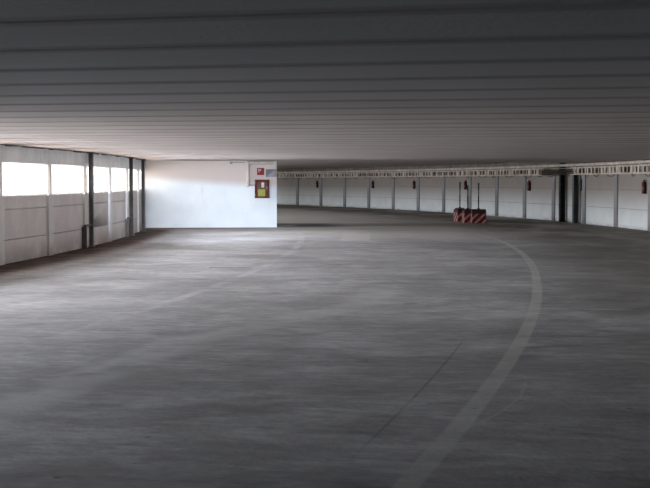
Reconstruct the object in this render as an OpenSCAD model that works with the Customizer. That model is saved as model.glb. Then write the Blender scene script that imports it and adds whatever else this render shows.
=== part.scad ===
// Curved multi storey car park, a 1:10 scale model of a run of thirteen column bays.
// One millimetre here is ten millimetres of the real building.
// The plan is a ring segment: decks span from an inner wall to an outer wall, both of
// straight pieces between posts that stand on radial grid lines.
// The ring's centre lies on the -Y side, the middle grid line points along +Y.

/* [Plan] */
// Radius to the deck side of the inner wall
inner_r = 13010; // [8000:10:20000]
// Clear width of the deck from wall to wall
deck_w = 1750; // [1200:10:2400]
// Angle between neighbouring posts
post_step = 1.648; // [1:0.001:3]
// Wall panels on each side of the middle grid line
half_panels = 13; // [5:2:15]
// Grid line of the movement joint, counted from the middle one
joint_line = 1; // [0:1:4]
// Joint left between neighbouring pieces
gap = 1; // [0.5:0.1:3]

/* [Storeys] */
// Thickness of the ground slab and footings
ground_t = 30; // [20:1:60]
// Clear height under the deep planks
clear_h = 245; // [220:1:300]
// Thickness of the deep deck planks
plank_t = 40; // [25:1:60]
// Amount by which the planks past the movement joint are thinner
far_rise = 15; // [5:1:20]
// Thickness of the topping on the planks
topping_t = 8; // [4:1:15]
// Deck planks between two grid lines
planks_per_panel = 3; // [2:1:4]
// Width and height of the chamfers along the planks' lower edges
chamfer = 4; // [1:0.5:8]

/* [Walls] */
// Thickness of the wall planks
panel_t = 15; // [10:1:20]
// Distance from the deck side of a wall to its outside
wall_t = 20; // [16:1:30]
// Width of a post along the wall
post_w = 40; // [20:1:48]
// Width and depth of a post in the end walls
end_post_w = 17; // [16:1:25]
// How far a post stands proud inside
post_proud = 5; // [2:1:10]
// Height of the lowest parapet plank
low_plank_h = 49; // [40:1:60]
// Height of the middle parapet plank
mid_plank_h = 63; // [50:1:70]
// Height of the window sill above the floor
sill_h = 140; // [100:1:160]
// Height of the window head above the floor
head_h = 209; // [190:1:220]
// Planks above each other in the outer wall
outer_rows = 3; // [1:1:4]
// Width of a mullion between two windows
mullion_w = 10; // [6:1:16]
// Depth of a mullion, from the inner face of the posts outwards
mullion_d = 6; // [6:0.5:12]
// Bearing of the planks on the edge beams
bearing = 13; // [8:0.5:16]
// Width of the vehicle opening in each end wall
lane_w = 640; // [300:10:900]

/* [Columns] */
// Depth and width of the steel columns on the inner side
col_w = 11; // [8:1:16]
// Depth and width of the two steel columns at the movement joint
joint_col_w = 22; // [16:1:30]
// Thickness of base and cap plates
plate_t = 2; // [1:0.5:4]
// Grid line of the first inner column, counted back from the fin wall
first_col = 4; // [2:2:12]
// Distance of the inner columns past the middle of their posts
col_past = 35; // [34:1:60]
// Distance of the middle column before the fin wall
mid_col_before = 330; // [60:5:340]
// Height of the ties between posts and columns
tie_h = 60; // [40:1:90]
// Width of a tie's upright
tie_w = 8; // [4:1:12]

/* [Fin wall and its fittings] */
// Length of the fin wall from the inner wall
fin_l = 475; // [300:10:600]
// Thickness of the fin wall
fin_t = 20; // [12:1:30]
// Width of the hose cabinet
cabinet_w = 51; // [40:1:70]
// Height of the hose cabinet
cabinet_h = 67; // [50:1:90]
// Depth of the hose cabinet
cabinet_d = 20; // [14:1:25]
// Distance of the cabinet's middle from the free end of the fin wall
cabinet_s = 55; // [40:5:200]
// Height of the cabinet's middle above the floor
cabinet_z = 143; // [100:1:170]
// Diameter of the white riser pipe
riser_d = 12.5; // [6:0.5:14]
// Distance of the riser from the free end of the fin wall
riser_s = 105; // [94:1:250]
// Width and height of the square sign
sign_w = 26; // [15:1:30]
// Distance of the sign's middle from the free end of the fin wall
sign_s = 59; // [54:1:80]
// Height of the sign's middle above the floor
sign_z = 206; // [185:1:220]
// Width of the flat box
box_w = 38; // [20:1:40]
// Height of the flat box
box_h = 28; // [15:1:35]
// Depth of the flat box
box_d = 6; // [3:0.5:10]
// Distance of the box's middle from the free end of the fin wall
box_s = 21.5; // [20:0.5:25]
// Height of the box's middle above the floor
box_z = 200; // [180:1:220]

/* [Services on the outer wall] */
// Diameter of the water pipe
pipe_d = 11.4; // [6:0.2:16]
// Distance from the water pipe down to the cable ladder
ladder_under = 2.6; // [1:0.2:10]
// Height of the cable ladder
ladder_h = 32; // [20:1:40]
// Openings in the cable ladder between two posts
ladder_slots = 5; // [3:1:8]
// Grid lines from the movement joint to the end of the near cable ladder
ladder_stop = 0.2; // [0.2:0.1:0.9]
// Grid lines from the movement joint to the start of the far cable ladder
ladder_start = 1.1; // [1.1:0.1:1.8]
// Diameter of a fire extinguisher
ext_d = 15.6; // [12:0.2:20]
// Height of an extinguisher's cylinder
ext_h = 40; // [30:1:50]
// Height of an extinguisher's middle above the floor
ext_z = 150; // [120:1:165]

/* [Barrier stands] */
// Length of a striped block
block_l = 58; // [44:1:64]
// Width of a striped block
block_w = 38; // [24:1:42]
// Height of a striped block
block_h = 57; // [40:1:70]
// Size of the chamfers along a block's top
block_chamfer = 9; // [3:1:15]
// Diameter of a pole
pole_d = 5; // [2:0.5:6]

/* [Hidden] */
outer_r = inner_r + deck_w;
// The roof parapet is the two lower planks of the inner wall
roof_parapet_h = low_plank_h + mid_plank_h;
roof_post_h = roof_parapet_h + 4;
storey_h = clear_h + plank_t + topping_t;
line_n = half_panels;
footing_out = wall_t + post_proud;
// Angle by which slabs and decks run past the last grid lines, under the corner posts
end_over = asin((post_w / 2 + 2) / inner_r);
// Radii between which the decks bear on the edge beams
deck_in = inner_r - bearing;
deck_out = outer_r * cos(post_step / 2) + bearing;
// Y of the ring's centre, so that the middle of the footprint is the origin
far_y = outer_r + footing_out;
near_y = (inner_r - footing_out) * cos(line_n * post_step + end_over);
centre_y = -(far_y + near_y) / 2;

function line_a(i) = 90 + i * post_step;
function edge_a(i) =
    i <= -line_n ? line_a(-line_n) - end_over :
    i >= line_n ? line_a(line_n) + end_over :
    line_a(i);
function floor_z(s) = ground_t + s * storey_h;
function rise(mid) = mid > joint_line ? far_rise : 0;
function pt(r, a) = [r * cos(a), r * sin(a)];

// Frames

// Everything is drawn about the ring's centre
module ring() {
    translate([0, centre_y, 0]) children();
}

// On grid line i: +X points out of the building at the given wall, Y runs along the wall
module at_line(i, outer) {
    rotate([0, 0, line_a(i)])
        translate([outer ? outer_r : inner_r, 0, 0])
            mirror([outer ? 0 : 1, 0, 0]) children();
}

// Halfway between grid lines i and i + 1, on the chord of the wall's deck side
module at_panel(i, outer) {
    r = outer ? outer_r : inner_r;
    rotate([0, 0, line_a(i + 0.5)])
        translate([r * cos(post_step / 2), 0, 0])
            mirror([outer ? 0 : 1, 0, 0]) children();
}

function chord(outer) = 2 * (outer ? outer_r : inner_r) * sin(post_step / 2);

// Upright box, centred along Y, from x1 outwards to x2
module slab_box(x1, x2, w, z1, z2) {
    translate([x1, -w / 2, z1]) cube([x2 - x1, w, z2 - z1]);
}

// Flat piece of a ring, straight between the listed angles
module ring_piece(r1, r2, angles, z1, z2) {
    last = len(angles) - 1;
    translate([0, 0, z1])
        linear_extrude(z2 - z1)
            polygon(concat([for (a = angles) pt(r1, a)],
                           [for (n = [last : -1 : 0]) pt(r2, angles[n])]));
}

// Half of a joint, as an angle at radius r
function half_gap(r) = gap / 2 / r * 180 / PI;

// One piece for each column bay, bent at the grid line in its middle
module bays(r1, r2, z1, z2) {
    for (i = [-line_n : 2 : line_n - 2]) {
        a1 = edge_a(i) + (i > -line_n ? half_gap(inner_r) : 0);
        a2 = edge_a(i + 2) - (i + 2 < line_n ? half_gap(inner_r) : 0);
        ring_piece(r1, r2, [a1, line_a(i + 1), a2], z1, z2);
    }
}

// Ground

module ground_slab() color("DarkGray") ring()
    bays(inner_r + post_proud + gap, outer_r - post_proud - gap, 0, ground_t);

module inner_footing() color("Gray") ring()
    bays(inner_r - footing_out, inner_r + post_proud, 0, ground_t);

module outer_footing() color("Gray") ring()
    bays(outer_r - post_proud, outer_r + footing_out, 0, ground_t);

// Decks

// The lower edges of the planks are chamfered, which leaves a V between two planks
module plank_joint(a, z) {
    half_w = chamfer + gap / 2;
    rotate([0, 0, a])
        translate([inner_r, 0, z])
            rotate([90, 0, 90])
                linear_extrude(deck_w - 2)
                    polygon([[-half_w - 1, -1], [half_w + 1, -1], [0, half_w]]);
}

module deck_planks(s) color("Silver") ring()
    for (i = [-line_n : line_n - 1])
        for (p = [0 : planks_per_panel - 1]) {
            first = i == -line_n && p == 0;
            last = i == line_n - 1 && p == planks_per_panel - 1;
            b1 = line_a(i + p / planks_per_panel);
            b2 = line_a(i + (p + 1) / planks_per_panel);
            a1 = first ? edge_a(-line_n) : b1 + half_gap(inner_r);
            a2 = last ? edge_a(line_n) : b2 - half_gap(inner_r);
            top = floor_z(s) - topping_t;
            bottom = top - plank_t + rise(i + 0.5);
            difference() {
                ring_piece(deck_in, deck_out, [a1, a2], bottom, top);
                if (!first) plank_joint(b1, bottom);
                if (!last) plank_joint(b2, bottom);
            }
        }

module deck_topping(s) color("DarkGray") ring()
    bays(deck_in, deck_out, floor_z(s) - topping_t, floor_z(s));

// Walls of one storey

// Posts under the windows are wide, the mullions above the sill are narrow
module inner_posts(s) color("Gainsboro") ring()
    for (i = [-line_n : line_n])
        at_line(i, false) {
            slab_box(-post_proud, wall_t, post_w, floor_z(s), floor_z(s) + sill_h);
            slab_box(-post_proud, mullion_d - post_proud, mullion_w,
                     floor_z(s) + sill_h, floor_z(s) + head_h);
        }

module outer_posts(s) color("DarkGray") ring()
    for (i = [-line_n : line_n])
        at_line(i, true)
            slab_box(-post_proud, wall_t, post_w, floor_z(s), floor_z(s) + head_h);

module parapet_planks(s) color("LightGray") ring()
    for (i = [-line_n : line_n - 1])
        at_panel(i, false) {
            w = chord(false) - post_w - gap;
            z1 = floor_z(s);
            z2 = z1 + low_plank_h;
            z3 = z2 + mid_plank_h;
            slab_box(0, panel_t, w, z1, z2 - gap);
            slab_box(0, panel_t, w, z2, z3 - gap);
            slab_box(0, panel_t, w, z3, z1 + sill_h);
        }

module outer_panels(s) color("WhiteSmoke") ring()
    for (i = [-line_n : line_n - 1], n = [0 : outer_rows - 1])
        at_panel(i, true)
            slab_box(0, panel_t, chord(true) - post_w - gap,
                     floor_z(s) + n * head_h / outer_rows + (n > 0 ? gap : 0),
                     floor_z(s) + (n + 1) * head_h / outer_rows);

// L section: the foot carries the planks, the upstand hides their ends.
// The first and the last beam run on over the corner posts.
module edge_beams(s, outer) color("LightGray") ring()
    for (i = [-line_n : line_n - 1])
        at_panel(i, outer) {
            more = post_w / 2;
            w = chord(outer) - gap + (abs(i + 0.5) > line_n - 1 ? more : 0);
            shift = i == -line_n ? -more / 2 : i == line_n - 1 ? more / 2 : 0;
            seat = floor_z(s) + clear_h + rise(i + 0.5);
            translate([0, shift, 0]) {
                slab_box(0, wall_t, w, floor_z(s) + head_h, seat);
                slab_box(bearing + gap, wall_t, w, seat, floor_z(s) + storey_h);
            }
        }

// Steel columns

// The flanges lie along the wall, so the web shows between them
module h_section(w) {
    t = w / 12;
    for (x = [-w / 2, w / 2 - t]) translate([x, -w / 2]) square([t, w]);
    translate([-w / 2, -t / 2]) square([w, t]);
}

module steel_column(w, h, lip) {
    plate = w + lip;
    linear_extrude(plate_t) square(plate, center = true);
    translate([0, 0, plate_t]) linear_extrude(h - 2 * plate_t) h_section(w);
    translate([0, 0, h - plate_t]) linear_extrude(plate_t) square(plate, center = true);
}

column_plate = 8;
col_x = -(gap + (col_w + column_plate) / 2);
function col_y(i) = i == 0 ? -mid_col_before : col_past;

col_lines = [for (i = [-first_col : 2 : line_n - 1]) i];

module inner_columns(s) color("DimGray") ring()
    for (i = col_lines)
        at_line(i, false)
            translate([col_x, col_y(i), floor_z(s)])
                steel_column(col_w, clear_h + rise(i + 0.5), column_plate);

// An upright against the wall and an arm across the post to the column
tie_t = 7;
tie_bar = 5;
module column_ties() color("SaddleBrown") ring()
    for (i = col_lines)
        if (i != 0)
            at_line(i, false) {
                z = floor_z(1);
                arm = col_past - col_w / 2;
                x = -post_proud - tie_t;
                translate([x, -arm - tie_w, z + tie_h - tie_bar]) cube([tie_t, 2 * arm + tie_w, tie_bar]);
                translate([x, -arm - tie_w, z]) cube([-x - gap, tie_w, tie_h - tie_bar]);
            }

// The two columns at the joint stand against the wall, behind the pipe and the cable ladder
joint_plate = 4;
joint_col_back = 3;
joint_col_x = -(post_proud + joint_col_back + (joint_col_w + joint_plate) / 2);
joint_cols = [0.13, 0.57];
module joint_columns() color("DarkSlateGray") ring()
    for (s = [0, 1], past = joint_cols)
        at_line(joint_line + past, true)
            translate([joint_col_x, 0, floor_z(s)])
                steel_column(joint_col_w, clear_h + far_rise, joint_plate);

// Roof parapets

module roof_posts(outer) color("Gainsboro") ring()
    for (i = [-line_n : line_n])
        at_line(i, outer)
            slab_box(-post_proud, wall_t, post_w, floor_z(2), floor_z(2) + roof_post_h);

module roof_parapet(outer) color("LightGray") ring()
    for (i = [-line_n : line_n - 1])
        at_panel(i, outer) {
            w = chord(outer) - post_w - gap;
            z = floor_z(2) + low_plank_h;
            slab_box(0, panel_t, w, floor_z(2), z - gap);
            slab_box(0, panel_t, w, z, z + mid_plank_h);
        }

// End walls: three panels between posts, then the opening for the lane

end_panels = 3;
end_run = deck_w - lane_w - 2 * post_proud;
end_pitch = end_run / end_panels;

module end_wall(side) color("LightGray") ring()
    rotate([0, 0, line_a(side * line_n)])
        translate([inner_r + post_proud, 0, 0])
            for (s = [0 : 2]) {
                h = s == 2 ? roof_parapet_h : clear_h + (side > 0 ? far_rise : 0);
                for (p = [0 : end_panels - 1]) {
                    x = p * end_pitch;
                    slab_box(x + gap / 2, x + end_pitch - end_post_w - gap / 2, panel_t,
                             floor_z(s), floor_z(s) + h);
                    slab_box(x + end_pitch - end_post_w, x + end_pitch, end_post_w,
                             floor_z(s), floor_z(s) + h);
                }
            }

// Fin wall on the middle grid line and what hangs on its near face

module fin_wall() color("White") ring()
    rotate([0, 0, line_a(0)])
        translate([inner_r + post_proud + gap / 2, -fin_t / 2, floor_z(1)])
            cube([fin_l, fin_t, clear_h]);

// Near face of the fin, at a distance back from its free end and a height above the floor.
// X points at the free end, Y at the viewer, Z up.
module on_fin(back, z) {
    ring() rotate([0, 0, line_a(0)])
        translate([inner_r + post_proud + gap / 2 + fin_l - back, -fin_t / 2, floor_z(1) + z])
            mirror([0, 1, 0]) children();
}

// The riser turns at its top into a pipe that runs on under the ceiling
branch_z = cabinet_z + 14;
riser_top = clear_h - riser_d / 2 - 1;
riser_end = 12;
elbow_d = riser_d + 1.6;
module riser_pipe() color("White") {
    y = riser_d / 2 + 1;
    on_fin(riser_s, branch_z) translate([0, y, 0])
        cylinder(d = riser_d, h = riser_top - branch_z, $fn = 24);
    on_fin(riser_s, riser_top) translate([0, y, 0]) {
        sphere(d = elbow_d, $fn = 24);
        rotate([0, 90, 0]) cylinder(d = riser_d, h = riser_s - riser_end, $fn = 24);
    }
    on_fin(riser_s, branch_z) translate([0, y, 0]) {
        sphere(d = elbow_d, $fn = 24);
        rotate([0, 90, 0]) cylinder(d = 4, h = riser_s - cabinet_s - cabinet_w / 2, $fn = 16);
    }
    for (z = [branch_z + 20, riser_top - 20])
        on_fin(riser_s, z) translate([-riser_d / 2 - 1, 0, 0]) cube([riser_d + 2, riser_d / 2, 3]);
}

module hose_cabinet() color("FireBrick")
    on_fin(cabinet_s + cabinet_w / 2, cabinet_z - cabinet_h / 2)
        difference() {
            cube([cabinet_w, cabinet_d, cabinet_h]);
            translate([3, 2, 3]) cube([cabinet_w - 6, cabinet_d, cabinet_h - 6]);
        }

module cabinet_front() color("IndianRed")
    on_fin(cabinet_s + cabinet_w / 2 - 3.3, cabinet_z - cabinet_h / 2 + 3.3)
        difference() {
            translate([0, cabinet_d - 3, 0]) cube([cabinet_w - 6.6, 2, cabinet_h - 6.6]);
            translate([5, cabinet_d - 1.8, 5]) cube([cabinet_w - 16.6, 2, cabinet_h - 16.6]);
        }

module fire_sign() color("Red")
    on_fin(sign_s + sign_w / 2, sign_z - sign_w / 2) cube([sign_w, 1, sign_w]);

module signal_box() color("Lavender")
    on_fin(box_s + box_w / 2, box_z - box_h / 2) cube([box_w, box_d, box_h]);

// Services along the outer wall of the upper storey

// The ladder passes in front of the joint columns. Rods behind it also pass behind the pipe.
ladder_t = 3;
ladder_x = joint_col_x - joint_col_w / 2 - gap - ladder_t;
rod_clear = 0.3;
pipe_x = ladder_x + ladder_t - rod_clear - pipe_d / 2;
pipe_under = 3;
pipe_z = floor_z(1) + clear_h - pipe_under - pipe_d / 2;
pipe_run = chord(true) - 2 * gap;
ladder_z = pipe_z - pipe_d / 2 - ladder_under - ladder_h;
valve_l = 12;
valve_d = pipe_d + 5;

// The pipe keeps its level past the movement joint, and has a valve there
module water_pipe() color("Wheat") ring() {
    for (i = [-line_n : line_n - 1])
        at_panel(i, true) translate([pipe_x, 0, pipe_z]) rotate([90, 0, 0])
            cylinder(d = pipe_d, h = pipe_run, center = true, $fn = 20);
    at_panel(joint_line + 1, true)
        translate([pipe_x, (ladder_start - 1.5) * chord(true), pipe_z])
            rotate([90, 0, 0]) cylinder(d = valve_d, h = valve_l, center = true, $fn = 20);
}

hanger_t = 3;

// A stub carries the pipe, a rod behind it goes down to the ladder. They hang from the middle of
// each panel, and past the joint from where the near ladder still runs.
function hanger_shift(i) = i == joint_line ? (ladder_stop / 4 - 0.5) * pipe_run : 0;
module pipe_hangers() color("Tan") ring()
    for (i = [-line_n : line_n - 1])
        at_panel(i, true) translate([0, hanger_shift(i), 0]) {
            z = pipe_z + pipe_d / 2;
            top = floor_z(1) + clear_h + rise(i + 0.5);
            translate([pipe_x - hanger_t / 2, -hanger_t / 2, z]) cube([hanger_t, hanger_t, top - z]);
            translate([ladder_x + ladder_t, -hanger_t / 2, ladder_z])
                cube([hanger_t, hanger_t, top - ladder_z]);
        }

// A plate with slots is enough for the rails and rungs of the ladder
ladder_rail = 6;
function ladder_from(i) = i == joint_line + 1 ? ladder_start - 1 : 0;
function ladder_to(i) = i == joint_line ? ladder_stop : 1;
module cable_ladder() color("Tan") ring()
    for (i = [-line_n : line_n - 1])
        at_panel(i, true) {
            y1 = (ladder_from(i) - 0.5) * pipe_run;
            y2 = (ladder_to(i) - 0.5) * pipe_run;
            slots = max(1, round(ladder_slots * (y2 - y1) / pipe_run));
            pitch = (y2 - y1) / slots;
            difference() {
                translate([ladder_x, y1, ladder_z]) cube([ladder_t, y2 - y1, ladder_h]);
                for (n = [0 : slots - 1])
                    translate([ladder_x - 1, y1 + n * pitch + ladder_rail / 2, ladder_z + ladder_rail])
                        cube([ladder_t + 2, pitch - ladder_rail, ladder_h - 2 * ladder_rail]);
            }
        }

// The extinguishers hang on the panels, each a short way to one side of every second post
ext_past = 0.13;
ext_before = -0.2;
ext_lines = [for (i = [-line_n + 2 : 2 : line_n - 2])
    if (i != joint_line) i + (i == 3 || i == 9 ? ext_before : ext_past)];
function panel_sag(i) = outer_r * (1 - cos(post_step / 2) / cos((i - floor(i) - 0.5) * post_step));
module at_extinguishers(z)
    for (i = ext_lines)
        at_line(i, true)
            translate([-panel_sag(i) - ext_d / 2, 0, floor_z(1) + ext_z + z]) children();

ext_neck = 4;
module extinguishers() color("DarkRed") ring()
    at_extinguishers(-ext_h / 2 - 3) {
        cylinder(d = ext_d, h = ext_h, $fn = 20);
        translate([0, 0, ext_h]) cylinder(d1 = ext_d, d2 = ext_neck + 1, h = ext_neck, $fn = 20);
    }

module extinguisher_valves() color("Black") ring()
    at_extinguishers(ext_h / 2 - 3 + ext_neck) {
        cylinder(d = ext_neck, h = 4, $fn = 16);
        translate([-1.5, -6, 3]) cube([3, 12, 2]);
        translate([0, -1.5, 0.5]) cube([ext_d / 2, 3, 2]);
    }

// Three barrier stands past the joint: distance from the outer wall, grid lines past the joint,
// turn and height of the pole's top
stands = [[430, 0.88, 5, 167], [443, 0.4, -4, 153], [411, 0.26, 84, 163]];

module at_stand(stand)
    ring() rotate([0, 0, line_a(joint_line + stand[1])])
        translate([outer_r - stand[0], 0, floor_z(1)])
            rotate([0, 0, stand[2]]) children();

module barrier_blocks() color("FireBrick")
    for (stand = stands)
        at_stand(stand)
            translate([0, block_l / 2, 0]) rotate([90, 0, 0]) linear_extrude(block_l)
                polygon([[-block_w / 2, 0], [block_w / 2, 0],
                         [block_w / 2, block_h - block_chamfer],
                         [block_w / 2 - block_chamfer, block_h],
                         [-block_w / 2 + block_chamfer, block_h],
                         [-block_w / 2, block_h - block_chamfer]]);

module barrier_poles() color("Black")
    for (stand = stands)
        at_stand(stand) translate([0, 0, block_h])
            cylinder(d = pole_d, h = stand[3] - block_h, $fn = 16);

ground_slab();
inner_footing();
outer_footing();
inner_posts(0);  // lower_inner_posts
parapet_planks(0);  // lower_parapet_planks
edge_beams(0, false);  // lower_inner_beams
outer_posts(0);  // lower_outer_posts
outer_panels(0);  // lower_outer_panels
edge_beams(0, true);  // lower_outer_beams
inner_columns(0);  // lower_columns
deck_planks(1);  // middle_deck_planks
deck_topping(1);  // middle_deck_topping
inner_posts(1);  // upper_inner_posts
parapet_planks(1);  // upper_parapet_planks
edge_beams(1, false);  // upper_inner_beams
outer_posts(1);  // upper_outer_posts
outer_panels(1);  // upper_outer_panels
edge_beams(1, true);  // upper_outer_beams
inner_columns(1);  // upper_columns
column_ties();
joint_columns();
deck_planks(2);  // roof_deck_planks
deck_topping(2);  // roof_deck_topping
roof_posts(false);  // roof_inner_posts
roof_parapet(false);  // roof_inner_parapet
roof_posts(true);  // roof_outer_posts
roof_parapet(true);  // roof_outer_parapet
end_wall(-1);  // near_end_wall
end_wall(1);  // far_end_wall
fin_wall();
riser_pipe();
hose_cabinet();
cabinet_front();
fire_sign();
signal_box();
water_pipe();
pipe_hangers();
cable_ladder();
extinguishers();
extinguisher_valves();
barrier_blocks();
barrier_poles();
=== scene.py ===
import math
import random
from types import SimpleNamespace

import bmesh
import bpy
from mathutils import Matrix, Vector


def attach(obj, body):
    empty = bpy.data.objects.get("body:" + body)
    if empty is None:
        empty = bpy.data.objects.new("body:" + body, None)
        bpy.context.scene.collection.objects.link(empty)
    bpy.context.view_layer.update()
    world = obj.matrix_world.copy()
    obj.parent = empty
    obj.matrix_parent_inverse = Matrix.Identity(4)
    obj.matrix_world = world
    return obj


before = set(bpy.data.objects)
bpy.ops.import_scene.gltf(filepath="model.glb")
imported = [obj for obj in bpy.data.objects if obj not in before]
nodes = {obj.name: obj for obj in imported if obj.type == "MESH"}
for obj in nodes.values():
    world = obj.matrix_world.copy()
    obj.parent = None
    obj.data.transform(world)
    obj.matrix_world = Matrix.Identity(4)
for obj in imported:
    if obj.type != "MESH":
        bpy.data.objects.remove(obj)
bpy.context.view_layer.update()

# The building's grid. The plan is a ring segment about a point on the -Y side, with posts on
# radial lines that are counted from the middle one. Every piece below is placed on this grid.
INNER_R = 13.01
OUTER_R = 14.76
POST_STEP = math.radians(1.648)
END_LINE = 13
JOINT_LINE = 1
FOOTING_OUT = 0.025
END_OVER = math.asin(0.022 / INNER_R)
RING_Y = -(OUTER_R + FOOTING_OUT
           + (INNER_R - FOOTING_OUT) * math.cos(END_LINE * POST_STEP + END_OVER)) / 2
STOREY_H = 0.293
GROUND_T = 0.03
CLEAR_H = 0.245
HEAD_H = 0.209
SILL_H = 0.14


def floor_z(storey):
    return GROUND_T + storey * STOREY_H


def ring_angle(line):
    return math.pi / 2 + line * POST_STEP


def ring_spot(radius, line, z):
    """A point at a radius from the ring's centre, on a grid line or between two."""
    angle = ring_angle(line)
    return Vector((radius * math.cos(angle), RING_Y + radius * math.sin(angle), z))


def on_wall(radius, line, outer, z, x, y):
    """At a wall, with X out of the building and Y along the wall, moved by x and y."""
    turn = ring_angle(line) + (0.0 if outer else math.pi)
    turned = Matrix.Translation(ring_spot(radius, line, z)) @ Matrix.Rotation(turn, 4, "Z")
    return turned @ Matrix.Translation((x, y, 0))


def at_line(line, outer, z=0.0, x=0.0, y=0.0):
    """On a grid line at a wall's deck side, moved by x out of the building and y along the wall."""
    return on_wall(OUTER_R if outer else INNER_R, line, outer, z, x, y)


def at_panel(line, outer, z=0.0, x=0.0):
    """Halfway from a grid line to the next, on the chord of the wall's deck side."""
    radius = (OUTER_R if outer else INNER_R) * math.cos(POST_STEP / 2)
    return on_wall(radius, line + 0.5, outer, z, x, 0.0)


# Camera. The eye is 1.70 m above the upper deck, so 0.170 m at this scale, just inside the lane
# opening of the near end wall. The lens is 1400 pixels of a picture that is 650 wide.
EYE_H = 0.17
EYE_R = 14.192
EYE_ANGLE = math.radians(68.86)
HEADING = math.radians(175.19)
PITCH_DOWN = math.radians(2.56)
SENSOR_MM = 36.0
LENS_MM = SENSOR_MM * 1400 / 650


def add_object(name, data):
    made = bpy.data.objects.new(name, data)
    bpy.context.scene.collection.objects.link(made)
    return made


camera_data = bpy.data.cameras.new("camera")
camera_data.sensor_width = SENSOR_MM
camera_data.lens = LENS_MM
camera_data.clip_start = 0.02
camera_data.clip_end = 400.0
camera = add_object("camera", camera_data)
camera.location = (EYE_R * math.cos(EYE_ANGLE), RING_Y + EYE_R * math.sin(EYE_ANGLE),
                   floor_z(1) + EYE_H)
camera.rotation_euler = (math.pi / 2 - PITCH_DOWN, 0.0, HEADING - math.pi / 2)
bpy.context.scene.camera = camera
bpy.context.scene.view_settings.view_transform = "Standard"


# Light. A white surround and one wide soft lamp light the outside. Each window of the upper deck
# has two lamps in its opening that shine into the deck only: a strong one that keeps near the
# level, as light from low in the sky does, and a weak one that the camera sees as the sky.
def srgb(hex_colour):
    """An sRGB hex colour as the linear values that Blender works in."""
    parts = [int(hex_colour[i:i + 2], 16) / 255 for i in (0, 2, 4)]
    return tuple(p / 12.92 if p <= 0.04045 else ((p + 0.055) / 1.055) ** 2.4 for p in parts)


def add_node(kind, *inputs, tree=None, **named):
    """Adds a node to the tree that its links come from, and returns its first output if it has
    one. Inputs are values or links in the node's order. Named ones, with _ for a space or before
    a number, are inputs too, and a name in small letters is one of the node's settings."""
    for value in (*inputs, *named.values()):
        if isinstance(value, bpy.types.NodeSocket):
            tree = value.id_data
    made = tree.nodes.new("ShaderNode" + kind)
    for name in [name for name in named if name[0].islower()]:
        setattr(made, name, named.pop(name))
    for name, value in (*enumerate(inputs), *named.items()):
        number = str(name).strip("_")
        socket = made.inputs[int(number) if number.isdigit() else name.replace("_", " ")]
        if isinstance(value, bpy.types.NodeSocket):
            tree.links.new(value, socket)
        else:
            socket.default_value = value
    return made.outputs[0] if made.outputs else made


SURROUND = 0.75
world = bpy.data.worlds.new("white_surround")
world.use_nodes = True
sky = world.node_tree
sky.nodes.clear()
rays = add_node("LightPath", tree=sky).node.outputs
seen = add_node("Math", rays["Is Camera Ray"], rays["Is Glossy Ray"], operation="MAXIMUM")
seen = add_node("Math", seen, rays["Is Transmission Ray"], operation="MAXIMUM")
level = add_node("MapRange", seen, 0.0, 1.0, SURROUND, 1.0)
add_node("OutputWorld", Surface=add_node("Background", Strength=level))
bpy.context.scene.world = world

WINDOW_W = 0.3732
WINDOW_GLASS_X = 0.019
WINDOW_REVEAL = 0.04
GLOW_WATTS = 0.1
SKY_WATTS = 2.0
SKY_TILT = 3
SKY_SPREAD = 84
# The lamps at the near end are weaker, and so are those next to the fin wall, which stands closer
# to them than any wall does to a real sky
DIM = {-13: 0.12, -12: 0.26, -11: 0.5, -10: 0.6, -9: 0.86, -8: 1.05, -6: 0.92, -5: 0.92,
       -1: 0.22, 0: 0.6, 9: 0.8, 10: 0.75, 11: 0.65, 12: 0.6}
FAR_SHARE = 0.36
# Lamps at the near end are tilted down more and cooler, as clear sky is seen there
NEAR_LINE = -10
NEAR_TILT = 17


def soft_lamp(name, place, size, colour, watts, tilt, spread):
    """A rectangular lamp that shines along +X of its place, tilted down. One that spreads all
    round is also seen by the camera."""
    data = bpy.data.lights.new(name, "AREA")
    data.shape = "RECTANGLE"
    data.size, data.size_y = size
    data.color = srgb(colour)
    data.energy = watts
    data.spread = math.radians(spread)
    lamp = add_object(name, data)
    tilted = place @ Matrix.Rotation(math.radians(tilt - 90), 4, "Y")
    lamp.matrix_world = tilted @ Matrix.Rotation(math.pi / 2, 4, "Z")
    lamp.visible_camera = spread == 180


def in_window(line):
    """In the middle of a window of the upper deck, facing into it."""
    window = at_panel(line, False, floor_z(1) + (SILL_H + HEAD_H) / 2, WINDOW_GLASS_X)
    return window @ Matrix.Rotation(math.pi, 4, "Z")


for line in range(-END_LINE, END_LINE):
    opening = (WINDOW_W, HEAD_H - SILL_H - 0.003)
    share = DIM.get(line, 1.0) * (FAR_SHARE if line > 0 else 1.0)
    soft_lamp(f"window_glow_{line}", in_window(line), opening, "fff2e6", GLOW_WATTS, 0, 180)
    near = line <= NEAR_LINE
    colour, tilt = ("f1f5ff", NEAR_TILT) if near else ("f6f8ff", SKY_TILT)
    soft_lamp(f"sky_light_{line}", in_window(line), (WINDOW_W - WINDOW_REVEAL, opening[1]), colour,
              SKY_WATTS * share, tilt, SKY_SPREAD)

# Light that the ground outside throws up through the windows reaches the planks next to the wall
BOUNCE_WATTS = 0.1
for line in range(-9, 0):
    soft_lamp(f"ground_light_{line}", in_window(line), (0.25, 0.03), "fff0e6", BOUNCE_WATTS, -45,
              42)

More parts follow.
